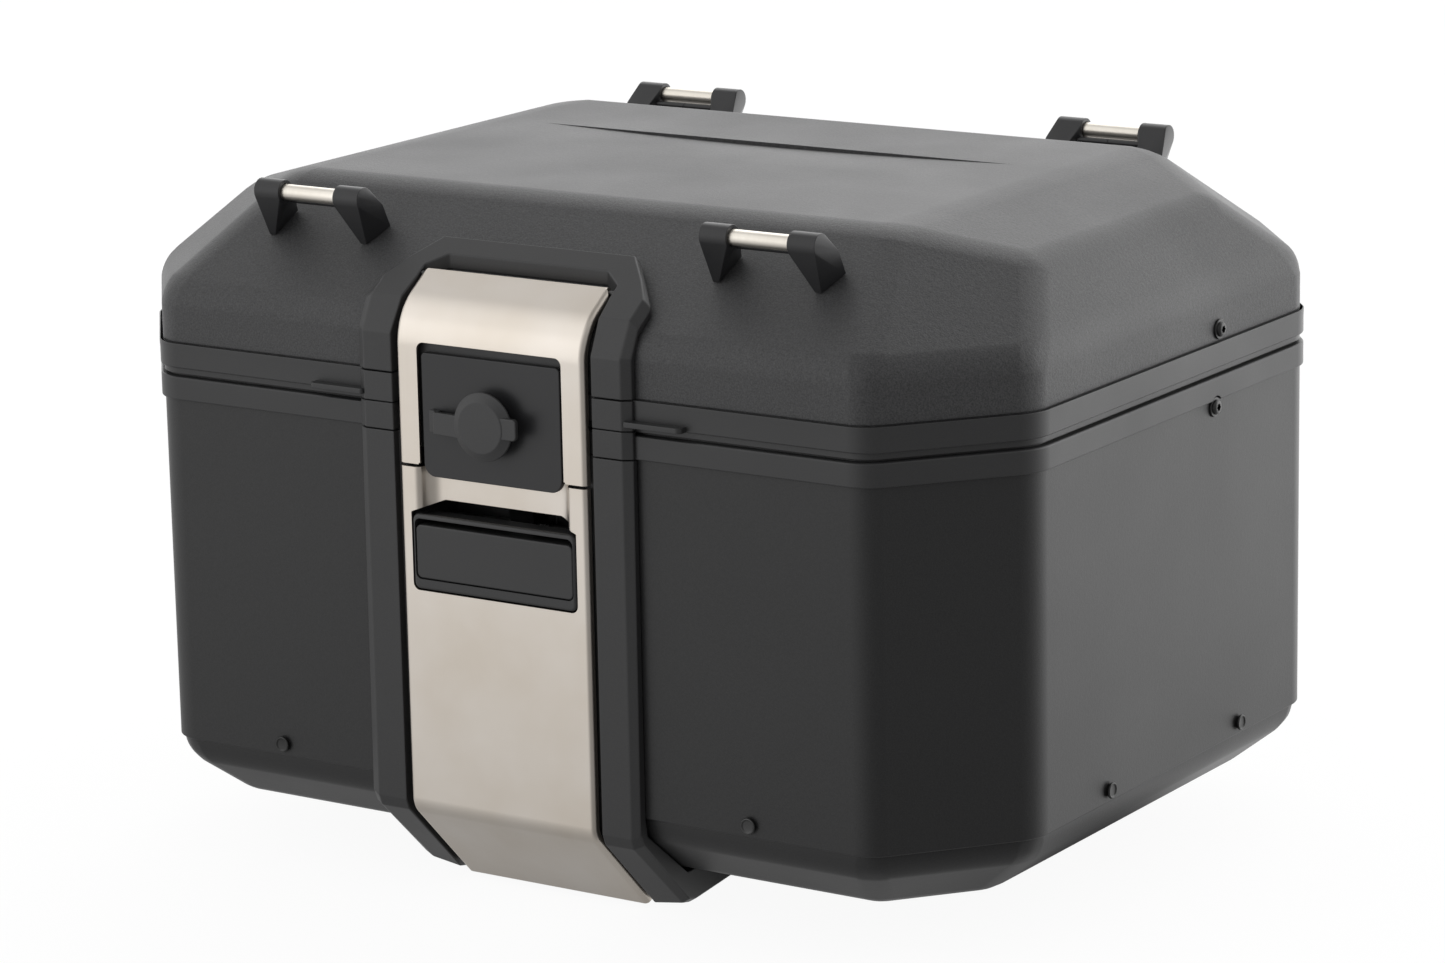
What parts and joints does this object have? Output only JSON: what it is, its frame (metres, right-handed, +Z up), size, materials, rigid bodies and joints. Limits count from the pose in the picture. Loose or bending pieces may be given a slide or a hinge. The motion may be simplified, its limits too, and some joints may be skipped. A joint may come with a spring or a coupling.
{
  "type": "motorcycle top case",
  "caption": "Black hard motorcycle top case with a hinged faceted lid, a metal latch flap with key lock, a release button and lashing eyes.",
  "frame": {"origin": "centre of the case's plan outline, on the plane the rubber feet stand on", "axes": "+X to the right seen from the latch side, -Y towards the latch side, +Z up"},
  "size_m": [0.4536, 0.3756, 0.3011],
  "materials": {
    "powder_coat": "satin",
    "lid_plastic": "fine grain",
    "moulded_plastic": "satin",
    "champagne_metal": "satin",
    "steel": "satin",
    "black_steel": "satin",
    "plate_metal": "satin",
    "rubber": "matte",
    "seal_rubber": "matte",
    "webbing": "woven"
  },
  "bodies": {
    "case": {"base_plate": "plate_metal", "body_frame": "moulded_plastic", "body_hinge_leaf_left": "powder_coat", "body_hinge_leaf_right": "powder_coat", "body_strap_screw_left": "black_steel", "body_strap_screw_right": "black_steel", "body_surround": "moulded_plastic", "body_wall": "powder_coat", "bottom_pan": "powder_coat", "button_bezel": "moulded_plastic", "catch_pin": "steel", "check_strap_left": "webbing", "check_strap_right": "webbing", "foot_front_left": "rubber", "foot_front_right": "rubber", "foot_rear_left": "rubber", "foot_rear_right": "rubber", "hinge_pin_left": "steel", "hinge_pin_right": "steel", "latch_tray": "moulded_plastic", "lower_latch_plate": "champagne_metal", "rivet_front_1": "powder_coat", "rivet_front_2": "powder_coat", "rivet_left_5": "powder_coat", "rivet_left_6": "powder_coat", "rivet_rear_3": "powder_coat", "rivet_rear_4": "powder_coat", "rivet_right_7": "powder_coat", "rivet_right_8": "powder_coat"},
    "lid": {"flap_pin": "steel", "lashing_bracket_front_left_a": "moulded_plastic", "lashing_bracket_front_left_b": "moulded_plastic", "lashing_bracket_front_right_a": "moulded_plastic", "lashing_bracket_front_right_b": "moulded_plastic", "lashing_bracket_rear_left_a": "moulded_plastic", "lashing_bracket_rear_left_b": "moulded_plastic", "lashing_bracket_rear_right_a": "moulded_plastic", "lashing_bracket_rear_right_b": "moulded_plastic", "lashing_rod_front_left": "steel", "lashing_rod_front_right": "steel", "lashing_rod_rear_left": "steel", "lashing_rod_rear_right": "steel", "lid_frame": "moulded_plastic", "lid_hinge_leaf_left": "powder_coat", "lid_hinge_leaf_right": "powder_coat", "lid_seal": "seal_rubber", "lid_shell": "lid_plastic", "lid_strap_screw_left": "black_steel", "lid_strap_screw_right": "black_steel", "lid_surround": "moulded_plastic"},
    "flap": {"flap_plate": "champagne_metal", "lock_plate": "moulded_plastic", "lock_body": "moulded_plastic", "latch_hook": "steel"},
    "key": {"key_core": "steel", "lock_cam": "steel"},
    "cap": {"key_cap": "rubber"},
    "button": {"release_button": "moulded_plastic"},
    "lever": {"catch_lever": "steel", "catch_spring": "steel"}
  },
  "joints": [
    {"name": "lid_hinge", "type": "hinge", "parent": "case", "child": "lid", "pos_m": [0, 0.1835, 0.218], "axis": [-1, 0, 0], "range_deg": [0, 85]},
    {"name": "flap_hinge", "type": "hinge", "parent": "lid", "child": "flap", "pos_m": [0, -0.1575, 0.2695], "axis": [-1, 0, 0], "range_deg": [0, 75]},
    {"name": "key_turn", "type": "hinge", "parent": "flap", "child": "key", "pos_m": [0, -0.1796, 0.213], "axis": [0, 1, 0], "range_deg": [0, 90]},
    {"name": "cap_hinge", "type": "hinge", "parent": "flap", "child": "cap", "pos_m": [-0.03, -0.1811, 0.213], "axis": [0, 0, -1], "range_deg": [0, 110]},
    {"name": "button_slide", "type": "slide", "parent": "case", "child": "button", "axis": [0, 1, 0], "range_m": [0, 0.004]},
    {"name": "catch_pivot", "type": "hinge", "parent": "case", "child": "lever", "pos_m": [0, -0.155, 0.166], "axis": [1, 0, 0], "range_deg": [0, 16]}
  ],
  "couplings": [
    {"joint": "catch_pivot", "follows": "button_slide", "rad_per_m": 69.81}
  ]
}
